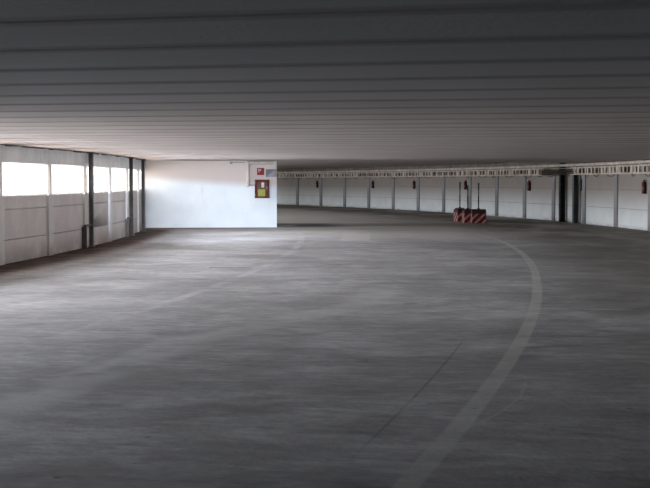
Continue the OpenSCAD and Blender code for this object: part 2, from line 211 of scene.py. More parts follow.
# One more lamp stands in for the windows' light along the deck, which falls on the fin wall
FIN_LIGHT_WATTS = 1.15
along_deck = at_line(-4, False, floor_z(1) + 0.165, -0.262)
soft_lamp("light_along_deck", along_deck @ Matrix.Rotation(-math.pi / 2, 4, "Z"), (0.4, 0.03),
          "dfeaff", FIN_LIGHT_WATTS, 10, 40)

# A long weak lamp stands in for the light that the floor and outer wall throw onto the inner wall
BACK_LIGHT_WATTS = 0.8
thrown_back = at_line(-5, False, floor_z(1) + 0.1, -0.55)
soft_lamp("light_thrown_back", thrown_back, (3.4, 0.1), "f4f6ff", BACK_LIGHT_WATTS, -3, 110)

overhead_data = bpy.data.lights.new("soft_overhead", "AREA")
overhead_data.size = 14.0
overhead_data.energy = 400.0
overhead = add_object("soft_overhead", overhead_data)
overhead.location = (-6.0, -9.0, 11.0)
overhead.rotation_euler = Vector((6.0, 9.0, -11.0)).to_track_quat("-Z", "Y").to_euler()


# Studio floor: a wide pale disc under the model. It's the stage and no part of the building.
def new_material(name, **values):
    """A material with one Principled shader, and the values that are the same all over it. All
    surfaces are dusty and shine little."""
    material = bpy.data.materials.new(name)
    material.use_nodes = True
    material.node_tree.nodes.clear()
    values = {"Specular_IOR_Level": 0.2, **values}
    glossy = add_node("BsdfPrincipled", tree=material.node_tree, **values)
    add_node("OutputMaterial", Surface=glossy)
    return material, glossy.node


def new_object(name, mesh):
    """Turns a bmesh into an object with its place in its mesh, and its faces outwards."""
    bmesh.ops.recalc_face_normals(mesh, faces=mesh.faces)
    data = bpy.data.meshes.new(name)
    mesh.to_mesh(data)
    mesh.free()
    return add_object(name, data)


stage_mesh = bmesh.new()
bmesh.ops.create_circle(stage_mesh, cap_ends=True, segments=64, radius=150.0,
                        matrix=Matrix.Translation((0, 0, -0.0005)))
stage = new_object("studio_floor", stage_mesh)
stage_paint = new_material("pale_studio_floor", Roughness=0.8, Base_Color=(*srgb("e4e4e2"), 1))[0]
stage.data.materials.append(stage_paint)


# Ground slab, deck toppings. Power-floated concrete, cast in bays two grid lines long, that cars
# have worn and soiled for years. A faded lane line is painted along the decks, and soil has
# gathered along the foot of the inner wall.
REAL = 10.0
# A mask that goes softly at both of its ends
SOFT = {"interpolation_type": "SMOOTHSTEP"}


def ring_material(name, **values):
    """A material, and where its points lie in the real building: radius and place in metres, grid
    line, and height above the floor of its storey."""
    material, shader = new_material(name, **values)
    point = add_node("TexCoord", tree=shader.id_data).node.outputs["Object"]
    place = add_node("VectorMath", point, (0.0, RING_Y, 0.0), operation="SUBTRACT")
    place = add_node("VectorMath", place, (-REAL, REAL, REAL), operation="MULTIPLY")
    x, y, z = add_node("SeparateXYZ", place).node.outputs
    angle = add_node("Math", x, y, operation="ARCTAN2")
    flat = add_node("CombineXYZ", x, y)
    radius = add_node("VectorMath", flat, operation="LENGTH").node.outputs["Value"]
    line = add_node("Math", angle, POST_STEP, operation="DIVIDE")
    arc = add_node("Math", angle, OUTER_R * REAL, operation="MULTIPLY")
    above = add_node("Math", z, (GROUND_T - 0.001) * REAL, operation="SUBTRACT")
    height = add_node("Math", above, STOREY_H * REAL, operation="FLOORED_MODULO")
    run = add_node("CombineXYZ", radius, arc, z)
    ring = SimpleNamespace(point=point, radius=radius, line=line, height=height, run=run)
    return material, shader, ring


def clouds(ring, size, low=0.35, high=0.65, detail=4.0, stretch=(1, 1, 1)):
    """Soft clouds of a size in metres, as a value that goes from 0 to 1 between two levels. A
    stretch below 1 draws them out along that axis."""
    scale = tuple(s / size for s in stretch)
    scaled = add_node("VectorMath", ring.run, scale, operation="MULTIPLY")
    noise = add_node("TexNoise", Vector=scaled, Scale=1.0, Detail=detail, Roughness=0.55)
    return add_node("MapRange", noise, low, high, **SOFT)


def stripe(across, middle, half, soft):
    """A stripe: 1 within half its width of the middle, fading to 0 over a soft edge."""
    off = add_node("Math", across, middle, operation="SUBTRACT")
    off = add_node("Math", off, operation="ABSOLUTE")
    return add_node("MapRange", off, half, half + soft, 1.0, 0.0, **SOFT)


def times(strength, *masks):
    """The product of masks, made weaker by a strength."""
    for mask in masks:
        strength = add_node("Math", mask, strength, operation="MULTIPLY")
    return strength


def coat(under, colour, *masks):
    """A colour laid over another one, or over a tone given as hex, by the product of the masks."""
    share = times(*masks)
    under = (*srgb(under), 1) if isinstance(under, str) else under
    return add_node("Mix", share, _6=under, _7=(*srgb(colour), 1), data_type="RGBA").node.outputs[2]


def shaded(under, mask, dark, light):
    """A colour made darker or lighter by a factor that the mask moves from dark to light."""
    factor = add_node("MapRange", mask, 0.0, 1.0, dark, light)
    return add_node("VectorMath", under, Scale=factor, operation="SCALE")


def surface(shader, colour, rough_mask=None, smooth=0.0, rough=0.0, height=None, depth=0.0):
    """Gives the shader its colour, its roughness between two values, and relief of a real depth
    in metres."""
    links = shader.id_data.links
    links.new(colour, shader.inputs["Base Color"])
    if rough_mask is not None:
        spread = add_node("MapRange", rough_mask, 0.0, 1.0, smooth, rough)
        links.new(spread, shader.inputs["Roughness"])
        relief = add_node("Bump", Height=height, Distance=depth / REAL)
        links.new(relief, shader.inputs["Normal"])


SHARP = math.radians(40)


def round_edges(piece, width, segments):
    """Rounds the sharp edges of a piece."""
    worn = piece.modifiers.new("worn_edges", "BEVEL")
    worn.width = width
    worn.segments = segments
    worn.limit_method = "ANGLE"
    worn.angle_limit = SHARP


def dress(material, edge, *names):
    """Gives kept pieces their material, and rounds their edges by a real size in metres."""
    for name in names:
        piece = nodes[name]
        piece.data.materials.clear()
        piece.data.materials.append(material)
        if edge:
            weld = piece.modifiers.new("weld", "WELD")
            weld.merge_threshold = 0.00002
            round_edges(piece, edge / REAL, 1)


# Worn, power-floated concrete: matt and dusty, a little polished in the wheel paths
worn_floor, shader, ring = ring_material("power_floated_concrete")
radius, line = ring.radius, ring.line
# Rain washes the roof deck, so the dust and dirt below it, and the painted light and shade, lie
# indoors only
level = add_node("SeparateXYZ", ring.run).node.outputs["Z"]
indoors = add_node("Math", level, (floor_z(2) - 0.05) * REAL, operation="LESS_THAN")
broad = clouds(ring, 2.6, 0.36, 0.64)
blotches = clouds(ring, 0.75, 0.38, 0.66, 5.0)
grain = clouds(ring, 0.06, 0.3, 0.7, 3.0)
colour = coat("929292", "a9a9aa", broad)
colour = shaded(colour, blotches, 0.84, 1.1)
mottled = clouds(ring, 0.16, 0.36, 0.66, 6.0)
colour = shaded(colour, mottled, 0.92, 1.07)
colour = shaded(colour, grain, 0.95, 1.04)

# Scuffs and dirt, and trowel marks drawn out across the lane, some dark and some pale
for size, low, high, detail, drawn_out, dark, light in (
        (0.42, 0.5, 0.75, 6.0, 0.7, 1.0, 0.76),
        (0.14, 0.5, 0.72, 5.0, 0.32, 0.96, 1.2),
        (0.1, 0.54, 0.74, 5.0, 0.28, 1.0, 0.78)):
    marks = clouds(ring, size, low, high, detail, (drawn_out, 1, 1))
    colour = shaded(colour, marks, dark, light)

# The planks under the topping show as thin pale lines, clearest towards the outer wall, and three
# of them have been filled with pale mortar there
PLANK_LINES = 3.0
pitch = add_node("Math", line, PLANK_LINES, operation="MULTIPLY")
plank_line = stripe(pitch, add_node("Math", pitch, operation="ROUND"), 0.012, 0.03)
outer_side = add_node("MapRange", radius, 138.5, 142.0, 0.05, 0.34)
broken = clouds(ring, 1.7, 0.4, 0.62)
colour = coat(colour, "b9b8b8", 0.8, plank_line, outer_side, broken)
filled_part = clouds(ring, 0.9, 0.3, 0.55)
FILLED = ((-8.17, 0.018, 140.75, 141.75), (-9.42, 0.007, 140.5, 142.2),
          (-10.63, 0.006, 140.5, 141.3))
for filled_line, half, from_radius, to_radius in FILLED:
    reach = stripe(radius, (from_radius + to_radius) / 2, (to_radius - from_radius) / 2, 0.4)
    across = stripe(line, filled_line, half, 0.01)
    colour = coat(colour, "aeada9", 0.55, across, filled_part, reach)

# The lane line drifts outwards along the deck, faster past the seventh grid line. Its paint is
# worn thin. An older line on the other side has nearly gone.
drift = add_node("MapRange", line, -10.94, -7.0, 140.38, 140.71)
far_drift = add_node("MapRange", line, -7.0, -3.0, 0.0, 0.51)
drift = add_node("Math", drift, far_drift, operation="ADD")
lane = stripe(radius, drift, 0.062, 0.03)
colour = coat(colour, "c6c7c0", 0.4, lane, clouds(ring, 0.5, 0.05, 0.55, 6.0))
old_lane = stripe(radius, 135.5, 0.06, 0.06)
colour = coat(colour, "c8c6d6", 0.32, old_lane, clouds(ring, 1.8, 0.38, 0.62, 5.0))

# Wheel path: a paler band swept by tyres, which bears outwards past the ninth line, and tyre dirt
# on its outer side. Some blotches have soaked in as well.
path_edge = add_node("MapRange", line, -9.3, -8.1, 137.25, 138.5)
beyond = add_node("Math", radius, path_edge, operation="SUBTRACT")
torn = clouds(ring, 0.45, 0.25, 0.6, 5.0)
colour = coat(colour, "bcbdbc", 0.42, stripe(beyond, -0.25, 0.12, 0.3), torn,
              stripe(line, -9.9, 2.0, 0.8))
tyre_dirt = times(stripe(beyond, 0.45, 0.38, 0.9), torn, stripe(line, -10.0, 1.8, 0.8))
colour = shaded(colour, tyre_dirt, 1.0, 0.88)
BLOTCHES = ((137.15, -9.86, 0.24, 0.06, 0.66), (136.75, -10.22, 0.18, 0.07, 0.74),
            (138.65, -10.38, 0.46, 0.08, 0.74), (137.95, -10.78, 0.34, 0.06, 0.78),
            (138.95, -9.62, 0.42, 0.13, 0.76), (136.7, -9.12, 0.38, 0.08, 0.78),
            (138.9, -8.05, 0.12, 0.05, 0.6), (140.0, -10.93, 0.3, 0.09, 0.68),
            (141.6, -10.3, 0.3, 0.08, 0.72), (139.1, -7.2, 0.7, 0.2, 0.84),
            (137.8, -10.52, 0.45, 0.09, 1.26), (139.0, -10.63, 0.42, 0.06, 1.22),
            (137.9, -9.3, 0.4, 0.12, 1.28))
for spot_radius, spot_line, half_radius, half_line, factor in BLOTCHES:
    soaked = times(stripe(radius, spot_radius, half_radius * 0.3, half_radius),
                   stripe(line, spot_line, half_line * 0.3, half_line), torn)
    colour = shaded(colour, soaked, 1.0, factor)

# Dust lies in a broad pale drift where the deck is sheltered. Nearer the end a darker band is
# painted shade.
DUST_DRIFT_AND_SHADE = ((138.1, -10.48, 1.3, 0.18, 1.2), (140.5, -10.98, 0.9, 0.14, 0.84))
# The first band is dust, the second is painted shade
for spot_radius, spot_line, half_radius, half_line, factor in DUST_DRIFT_AND_SHADE:
    dust_and_painted_shade = times(indoors, stripe(radius, spot_radius, half_radius, 1.1),
                    stripe(line, spot_line, half_line, 0.18))
    colour = shaded(colour, dust_and_painted_shade, 1.0, factor)

# A tyre has left a thin pale arc beside the lane line
bend = add_node("Math", line, 10.02, operation="ADD")
bend = add_node("Math", bend, bend, operation="MULTIPLY")
bend = add_node("Math", bend, 1.21, radius, operation="MULTIPLY_ADD")
colour = coat(colour, "b9bcb8", 0.3, stripe(bend, 140.74, 0.008, 0.012),
              stripe(line, -10.2, 0.25, 0.1))

# A thin crack follows the lane near the outer side
crack_line = stripe(radius, 139.92, 0.003, 0.016)
crack_part = stripe(line, -9.95, 0.45, 0.5)
crack_width = clouds(ring, 0.9, 0.22, 0.55)
colour = coat(colour, "343332", 0.42, crack_line, crack_part, crack_width)

# A paler patch on the floor, square to the fin wall
skewed = add_node("Math", line, -0.22, radius, operation="MULTIPLY_ADD")
colour = coat(colour, "bdbcbd", 0.45, stripe(skewed, 137.66, 0.42, 0.04),
              stripe(line, -1.7, 1.15, 0.05), indoors)

# About the fin wall and past it the floor is paler: partly dust, partly painted light that
# brightens the deck there. Behind the fin's free end, under the step in the ceiling, dark patches
# are painted shade that the fin casts, darkest next to its end.
dust_and_light_reach = add_node("MapRange", radius, 133.0, 136.5, 0.15, 0.9, **SOFT)
# Partly dust, partly painted light
for from_line, to_line, dust_and_light_colour in ((-3.2, -0.6, "c6c3bd"), (1.5, 4.5, "dcdad4")):
    dusty = add_node("MapRange", line, from_line, to_line, **SOFT)
    dust_and_light_clouds = clouds(ring, 1.2, 0.05, 0.55, 5.0, (0.5, 1, 1))
    colour = coat(colour, dust_and_light_colour, dusty, dust_and_light_clouds, dust_and_light_reach, indoors)
# Painted shade that the fin casts past its free end
fin_shade_edge = clouds(ring, 0.8, 0.15, 0.5, 5.0)
FIN_SHADE = ((0.95, 0.35, 135.9, 0.5, 2.2), (0.5, 0.2, 138.5, 1.5, 4.5))
for strength, half_line, middle_radius, half_radius, fade in FIN_SHADE:
    colour = coat(colour, "363636", strength, stripe(line, 0.82, half_line, 0.5), fin_shade_edge,
                  stripe(radius, middle_radius, half_radius, fade), indoors)

# Specks of grit and flakes of paint
specks = add_node("TexVoronoi", Vector=ring.run, Scale=1.4, feature="F1")
dot = add_node("MapRange", specks, 0.03, 0.045, 1.0, 0.0)
colour = coat(colour, "33312f", 0.6, dot)

# Cars keep away from the outer wall, so the floor is dirty there. It is also made darker and olive
# with painted shade towards the outer wall.
dirt_and_shade_by_outer_wall = add_node("MapRange", radius, 140.2, 143.8, **SOFT)
dust_and_painted_shade = clouds(ring, 1.3, 0.15, 0.65, 5.0, (1, 0.3, 1))
share = add_node("MapRange", indoors, 0.0, 1.0, 0.35, 0.82)
colour = coat(colour, "5b574b", dirt_and_shade_by_outer_wall, dust_and_painted_shade, share)

# Soil against the inner wall: a dark crust at its foot, then a brown film that fades out
wall = INNER_R * REAL + 0.3
foot = add_node("MapRange", radius, wall, wall + 1.15, 1.0, 0.0, **SOFT)
film = clouds(ring, 0.9, 0.12, 0.52, 5.0)
colour = coat(colour, "644018", 0.96, foot, film)
ragged = add_node("TexNoise", Vector=ring.run, Scale=3.2, Detail=5.0)
edge = add_node("Math", ragged, -0.55, radius, operation="MULTIPLY_ADD")
crust = add_node("MapRange", edge, wall, wall + 0.75, 1.0, 0.0, **SOFT)
colour = coat(colour, "2a1502", crust)

# Tan dust lies in the corner between the inner wall and the fin wall, and darkens it there as
# painted shade too
corner = add_node("MapRange", radius, 131.5, 135.5, 1.0, 0.0, **SOFT)
colour = coat(colour, "85684c", 0.7, corner, stripe(line, -0.12, 0.1, 0.35), film, indoors)

# Two short dark grooves near the inner wall
for middle, half in ((132.49, 0.34), (134.9, 0.4)):
    colour = coat(colour, "3a3531", 0.75, stripe(line, -6.1, 0.012, 0.012),
                  stripe(radius, middle, half, 0.05))
surface(shader, colour, blotches, 0.62, 0.85, grain, 0.0012)

dress(worn_floor, 0, "ground_slab", "middle_deck_topping", "roof_deck_topping")


# Footings. Rough strips of cast concrete that carry both curved walls and end flush with the slab.
def cast_concrete(name, pale, dark, stain, stain_strength, foot_h=0.0, smooth=0.72):
    """Concrete cast in a steel form: cloudy, with fine sand grain, stains that run down it, and
    dirt that splashes up from the floor to a height in metres."""
    material, shader, ring = ring_material(name)
    cloudy = clouds(ring, 0.7, detail=5.0)
    grain = clouds(ring, 0.04, 0.3, 0.7, 3.0)
    colour = coat(dark, pale, cloudy)
    colour = shaded(colour, grain, 0.95, 1.05)
    runs = clouds(ring, 0.16, 0.52, 0.78, 5.0, (1, 1, 0.12))
    colour = coat(colour, stain, stain_strength, runs)
    if foot_h:
        low = add_node("MapRange", ring.height, 0.02, foot_h, 1.0, 0.0, **SOFT)
        ragged = clouds(ring, 0.9, 0.25, 0.6, 5.0, (1, 1, 2.0))
        colour = coat(colour, stain, 0.6, low, ragged)
    surface(shader, colour, cloudy, smooth, smooth + 0.15, grain, 0.003)
    return material


footing_finish = cast_concrete("rough_cast_concrete", "8a8985", "74736f", "5a554c", 0.35)
dress(footing_finish, 0.01, "inner_footing", "outer_footing")


# Deck planks. Precast prestressed planks that span from wall to wall, three to a grid step, with
# a chamfer along each lower edge. They came from the bed smooth, each one a slightly other grey.
plank_finish, shader, ring = ring_material("precast_plank_soffit")
pitch = add_node("Math", ring.line, PLANK_LINES, operation="MULTIPLY")
number = add_node("Math", pitch, operation="FLOOR")
tone = add_node("TexWhiteNoise", W=number, noise_dimensions="1D")
drawn = clouds(ring, 0.16, 0.3, 0.7, 4.0, (0.06, 1, 1))
cloudy = clouds(ring, 1.1)
pores = clouds(ring, 0.035, 0.3, 0.62, 2.0)
colour = coat("a79e98", "afa6a1", cloudy)
# Nearest the open end the planks are painted cooler, for the cool daylight that comes in there,
# with painted shade on the inner side and painted light on the outer side
painted_cool_light = add_node("MapRange", ring.line, -11.0, -8.5, 1.0, 0.0, **SOFT)
colour = coat(colour, "97999a", 0.9, painted_cool_light)
side = add_node("MapRange", ring.radius, 134.0, 143.0, -0.5, 0.5)
side = add_node("Math", side, painted_cool_light, 0.5, operation="MULTIPLY_ADD")
colour = shaded(colour, side, 0.8, 1.2)
# By the inner wall the planks are darker with painted shade
painted_shade_by_wall = add_node("MapRange", ring.radius, 130.5, 135.0, **SOFT)
colour = shaded(colour, painted_shade_by_wall, 0.8, 1.0)
colour = shaded(colour, tone, 0.96, 1.03)
colour = shaded(colour, drawn, 0.985, 1.015)
colour = shaded(colour, pores, 0.98, 1.01)

# A soft dark band about 0.3 m wide along each joint is painted shade of the chamfered joints, with
# some exhaust soot in it
JOINT_SHADE_BAND = 0.09
JOINT_SHADE_FADE = 0.08
at_joint = add_node("Math", pitch, operation="ROUND")
colour = shaded(colour, stripe(pitch, at_joint, JOINT_SHADE_BAND, JOINT_SHADE_FADE), 1.0, 0.74)
surface(shader, colour, drawn, 0.62, 0.78, pores, 0.002)
dress(plank_finish, 0, "middle_deck_planks", "roof_deck_planks")


# Joint fillers. Soft grey sealant, poured a little below the surface between the bays of the
# slab and of the toppings.
def block(mesh, place, size, at=(0, 0, 0)):
    """Adds a box of a size, with its middle at a point of the place."""
    scale = Matrix.Diagonal((*size, 1.0))
    bmesh.ops.create_cube(mesh, size=1.0, matrix=place @ Matrix.Translation(at) @ scale)


def add_piece(name, mesh, material, bevel=0.0):
    """Finishes a new piece: material, worn edges, and what the frame needs to know of it."""
    piece = new_object(name, mesh)
    piece.data.materials.append(material)
    piece.data.shade_smooth()
    piece.data.set_sharp_from_angle(angle=SHARP)
    if bevel:
        round_edges(piece, bevel, 2)
    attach(piece, "root")


def faded_finish(name, one, other, patch, *relief, **values):
    """Two tones of a material, in soft patches of a size in metres. Relief is its least and most
    roughness and a depth."""
    material, shader, ring = ring_material(name, **values)
    patches = clouds(ring, patch)
    colour = coat(one, other, patches)
    if relief:
        surface(shader, colour, patches, relief[0], relief[1], patches, relief[2])
    else:
        surface(shader, colour)
    return material


sealant = faded_finish("grey_joint_sealant", "3b3a38", "565451", 0.2, Roughness=0.6)
FILLER_W = 0.001
FILLER_DEEP = 0.006
FILLER_DOWN = 0.0005
FILLER_SHORT = 0.007
length = OUTER_R - INNER_R - 2 * FILLER_SHORT
fillers = bmesh.new()
for storey in range(3):
    for line in range(2 - END_LINE, END_LINE, 2):
        top = floor_z(storey) - FILLER_DOWN
        place = at_line(line, False, top - FILLER_DEEP / 2)
        block(fillers, place, (length, FILLER_W, FILLER_DEEP), (-length / 2 - FILLER_SHORT, 0, 0))
add_piece("bay_joint_fillers", fillers, sealant)


# Inner wall. Posts of precast concrete stand on the grid lines. Three planks lie on each other
# between them up to the sill, and an edge beam closes the window strip. The wall bears the planks.
# Posts are cast smoother and paler than the planks, whose faces show every joint of the form.
CHORD_IN = 2 * INNER_R * math.sin(POST_STEP / 2)
CHORD_OUT = 2 * OUTER_R * math.sin(POST_STEP / 2)

inner_plank_finish = cast_concrete("precast_wall_plank", "d0cbc8", "c6c1be", "8f857c", 0.1, 0.5)
inner_post_finish = cast_concrete("smooth_precast_post", "d8d6d3", "cdcbc8", "8f8378", 0.1, 0.4)
beam_finish = cast_concrete("precast_edge_beam", "eeefef", "e0e1e1", "9a968f", 0.15)
# The outer edge beams are dark with soot, and darker still with painted shade under the main and
# ladder
soot_and_shade_beam_finish = cast_concrete("soot_and_painted_shade_edge_beam", "7d7671", "6d6763", "4a4541", 0.35)
for storey in ("lower", "upper"):
    dress(inner_plank_finish, 0.012, storey + "_parapet_planks")
    dress(inner_post_finish, 0.01, storey + "_inner_posts")
    dress(beam_finish, 0.01, storey + "_inner_beams")
    dress(soot_and_shade_beam_finish, 0.01, storey + "_outer_beams")

# A strip of mortar between the beams and the planks that lie on them is coloured dark. It's ragged,
# so it is made of short lengths that hang down unevenly.
bedding = faded_finish("dark_bedding_mortar", "34322f", "5b5854", 0.25, Roughness=0.95)
BEDDING_LENGTHS = 9
FAR_RISE = 0.015
# Every bay from one grid line to the next, on both decks
BAYS = [(storey, line) for storey in range(2) for line in range(-END_LINE, END_LINE)]


def clear_height(line):
    """Height of a bay under its planks, which is more past the movement joint."""
    return CLEAR_H + (FAR_RISE if line + 0.5 > JOINT_LINE else 0.0)


bedding_random = random.Random(4)
strips = bmesh.new()
for storey, line in BAYS:
    for outer, chord in ((False, CHORD_IN), (True, CHORD_OUT)):
        place = at_panel(line, outer, floor_z(storey) + clear_height(line))
        step = (chord - 0.002) / BEDDING_LENGTHS
        for n in range(BEDDING_LENGTHS):
            hang = bedding_random.uniform(0.0004, 0.0028)
            middle = (n + 0.5) * step - (chord - 0.002) / 2
            block(strips, place, (0.0012, step, hang), (-0.0006, middle, -hang / 2))
add_piece("bedding_strips", strips, bedding)


# Outer wall. Planks stacked between grey posts, painted white on the deck side and weathered
# outside. The paint is matt and rolled on, clean at the foot and brown with exhaust soot above.
white_wall, shader, ring = ring_material("rolled_white_masonry_paint")
cloudy = clouds(ring, 0.9, detail=5.0)
nap = clouds(ring, 0.03, 0.3, 0.7, 3.0)
colour = coat("d2d8d9", "dde2e3", cloudy)
drips = clouds(ring, 0.22, 0.55, 0.82, 5.0, (1, 1, 0.1))
colour = coat(colour, "8e8a83", 0.1, drips)
soot = add_node("MapRange", ring.height, 0.1, 1.65, **SOFT)
colour = coat(colour, "8b837b", 0.97, soot)
splash = add_node("MapRange", ring.height, 0.02, 0.16, 1.0, 0.0, **SOFT)
colour = coat(colour, "77736c", 0.45, splash, cloudy)
surface(shader, colour, cloudy, 0.6, 0.8, nap, 0.002)

# A black rubber seal lies in each joint of the planks, a little behind their face
OUTER_ROWS = 3
POST_W = 0.04
SEAL_IN = 0.003
SEAL_DEEP = 0.006
SEAL_H = 0.0014
JOINT_GAP = 0.001
rubber = faded_finish("dusty_rubber_seal", "4a4643", "5d5854", 0.2, Roughness=0.9)
seals = bmesh.new()
for storey, line in BAYS:
    for row in range(1, OUTER_ROWS):
        seal_z = floor_z(storey) + row * HEAD_H / OUTER_ROWS + JOINT_GAP / 2
        block(seals, at_panel(line, True, seal_z), (SEAL_DEEP, CHORD_OUT - POST_W - 0.001, SEAL_H),
              (SEAL_IN + SEAL_DEEP / 2, 0, 0))
add_piece("outer_wall_seals", seals, rubber)

outer_post_finish = cast_concrete("grey_precast_post", "8f8f90", "828283", "65615c", 0.3, 0.4)
for storey in ("lower", "upper"):
    dress(white_wall, 0.005, storey + "_outer_panels")
    dress(outer_post_finish, 0.01, storey + "_outer_posts")


# Roof parapets and end walls. The same planks and posts, bare and weathered: rain has left dark
# streaks.
weathered = cast_concrete("weathered_precast_concrete", "a7a5a0", "92908b", "5f5b53", 0.5, 0.6)
dress(weathered, 0.012, "roof_inner_posts", "roof_outer_posts", "roof_inner_parapet",
      "roof_outer_parapet", "near_end_wall", "far_end_wall")


# Steel columns. Rolled H sections with welded plates, bolted to the floor and to the soffit. They
# were painted grey, the paint has gone dull and rust comes through at the feet and edges.
def painted_steel(name, paint, worn_paint, rust_h, rust_strength, changed=None):
    """Old paint on rolled steel, with rust that climbs from the floor to a height in metres. Past a
    grid line the colour can change to another, darker one: painted shade on the columns."""
    material, shader, ring = ring_material(name)
    cloudy = clouds(ring, 0.25, detail=5.0)
    colour = coat(paint, worn_paint, cloudy)
    if changed:
        past = add_node("Math", ring.line, changed[0], operation="GREATER_THAN")
        colour = coat(colour, changed[1], past)
    spots = clouds(ring, 0.07, 0.56, 0.7, 6.0)
    low = add_node("MapRange", ring.height, 0.03, rust_h, 1.0, 0.1, **SOFT)
    colour = coat(colour, "6b3f24", rust_strength, spots, low)
    surface(shader, colour, cloudy, 0.38, 0.6, spots, 0.001)
    return material


# Past the third line before the fin wall the columns are coloured dark brown as painted shade
column_paint = painted_steel("grey_painted_steel", "5f6263", "6e7070", 0.9, 0.9, (-3.0, "3a3531"))
dress(column_paint, 0.002, "lower_columns", "upper_columns")

# Four bolts through each plate, set in the floor and in the soffit
COLUMN_X = -0.0105
COLUMN_PAST = 0.035
COLUMN_MID_BEFORE = 0.33
FIRST_COLUMN = -4
PLATE_T = 0.002
BOLT_OUT = 0.0072
BOLT_R = 0.0012
BOLT_H = 0.0014


def rod(mesh, place, radius, length, segments=24, at=(0, 0, 0)):
    """Adds a closed round length along the place's Z, with its middle at a point of the place."""
    bmesh.ops.create_cone(mesh, cap_ends=True, segments=segments, radius1=radius, radius2=radius,
                          depth=length, matrix=place @ Matrix.Translation(at))


def hex_bolts(mesh, place, out, under):
    """Four hexagonal heads at the corners of a plate, on top of it or under it."""
    shift = -BOLT_H / 2 if under else BOLT_H / 2
    for x in (-out, out):
        for y in (-out, out):
            rod(mesh, place, BOLT_R, BOLT_H, 6, (x, y, shift))


zinc = painted_steel("zinc_plated_bolts", "83807a", "9a958c", 2.0, 0.5)
bolts = bmesh.new()
for storey in range(2):
    for line in range(FIRST_COLUMN, END_LINE, 2):
        along = COLUMN_MID_BEFORE if line == 0 else -COLUMN_PAST
        foot = at_line(line, False, floor_z(storey), COLUMN_X, along)
        head_z = clear_height(line) - PLATE_T
        hex_bolts(bolts, foot @ Matrix.Translation((0, 0, PLATE_T)), BOLT_OUT, False)
        hex_bolts(bolts, foot @ Matrix.Translation((0, 0, head_z)), BOLT_OUT, True)
add_piece("column_bolts", bolts, zinc)

# Ties: flat bars from the posts to the columns, bare and rusty
tie_rust = painted_steel("rusty_flat_bar", "4a4442", "5d5049", 3.0, 1.0)
dress(tie_rust, 0.002, "column_ties")

# Of the two heavier columns at the movement joint, the near one is slate grey and the far one is
# coloured near black. They stand on wider base plates with anchor bolts.
joint_paint = painted_steel("dark_painted_steel", "505455", "5c6061", 0.5, 0.5,
                            (JOINT_LINE + 0.35, "1a1a1a"))
dress(joint_paint, 0.002, "joint_columns")
JOINT_COL_X = -0.021
JOINT_COLS = (JOINT_LINE + 0.13, JOINT_LINE + 0.57)
BASE_W = 0.034
BASE_T = 0.0024
ANCHOR_OUT = 0.0143
bases = bmesh.new()
anchors = bmesh.new()
for storey in range(2):
    for line in JOINT_COLS:
        foot = at_line(line, True, floor_z(storey), JOINT_COL_X)
        block(bases, foot, (BASE_W, BASE_W, BASE_T), (0, 0, BASE_T / 2))
        hex_bolts(anchors, foot @ Matrix.Translation((0, 0, BASE_T)), ANCHOR_OUT, False)
add_piece("joint_column_bases", bases, joint_paint, 0.0003)
add_piece("joint_column_anchors", anchors, tie_rust)


# Fin wall. A white painted concrete wall on the middle grid line, which stands on the deck with a
# grey mortar joint at its foot. It has the same rolled paint as the outer wall, but much cleaner.
fin_paint, shader, ring = ring_material("clean_white_wall_paint")
cloudy = clouds(ring, 0.8, detail=5.0)
nap = clouds(ring, 0.03, 0.3, 0.7, 3.0)
colour = coat("e6edee", "eef4f4", cloudy)
scuffed = clouds(ring, 0.25, 0.6, 0.8, 5.0, (1, 1, 0.25))
colour = coat(colour, "a8a29b", 0.18, scuffed)
# Above a line that falls from the wall to the free end, the paint is warmer and darker with painted
# shade, where the windows' light does not reach
FIN_SHADE_FALL = 0.06
falling = add_node("Math", ring.radius, FIN_SHADE_FALL, ring.height, operation="MULTIPLY_ADD")
shade_line_at_wall = FIN_SHADE_FALL * INNER_R * REAL
high = add_node("MapRange", falling, 1.62 + shade_line_at_wall, 2.0 + shade_line_at_wall, **SOFT)
colour = coat(colour, "d0bfb3", 0.85, high)
surface(shader, colour, cloudy, 0.55, 0.7, nap, 0.002)
dress(fin_paint, 0.01, "fin_wall")

FIN_L = 0.475
FIN_T = 0.02
POST_PROUD = 0.005
FIN_FOOT = POST_PROUD + 0.0005
FIN_END_R = INNER_R + FIN_FOOT + FIN_L


def on_fin(back, up, out=0.0):
    """Off the fin's near face, at a distance back from its free end and a height above the deck.
    X points at the free end, Y into the wall, Z up."""
    spot = (FIN_T / 2, RING_Y + FIN_END_R - back, floor_z(1) + up)
    turned = Matrix.Translation(spot) @ Matrix.Rotation(math.pi / 2, 4, "Z")
    return turned @ Matrix.Translation((0, -out, 0))


fin_joint = bmesh.new()
for into in (-0.0003, FIN_T + 0.0003):
    block(fin_joint, on_fin(FIN_L / 2, 0.001), (FIN_L - 0.002, 0.0006, 0.002), (0, into, 0))
add_piece("fin_foot_joint", fin_joint, bedding)


# Riser. A white painted steel pipe that comes down the fin to the hose cabinet, with threaded
# elbows where it turns, short sockets at them and saddle clips that are screwed to the wall.
def painted_pipe(name, pale, dull, dirt, dirt_strength, smooth=0.35):
    """Gloss paint on a pipe, dulled by dust that lies on it in patches."""
    material, shader, ring = ring_material(name)
    patches = clouds(ring, 0.35)
    fine = clouds(ring, 0.05, detail=3.0)
    colour = coat(pale, dull, patches)
    colour = coat(colour, dirt, dirt_strength, fine, patches)
    surface(shader, colour, patches, smooth, smooth + 0.2, fine, 0.0005)
    return material


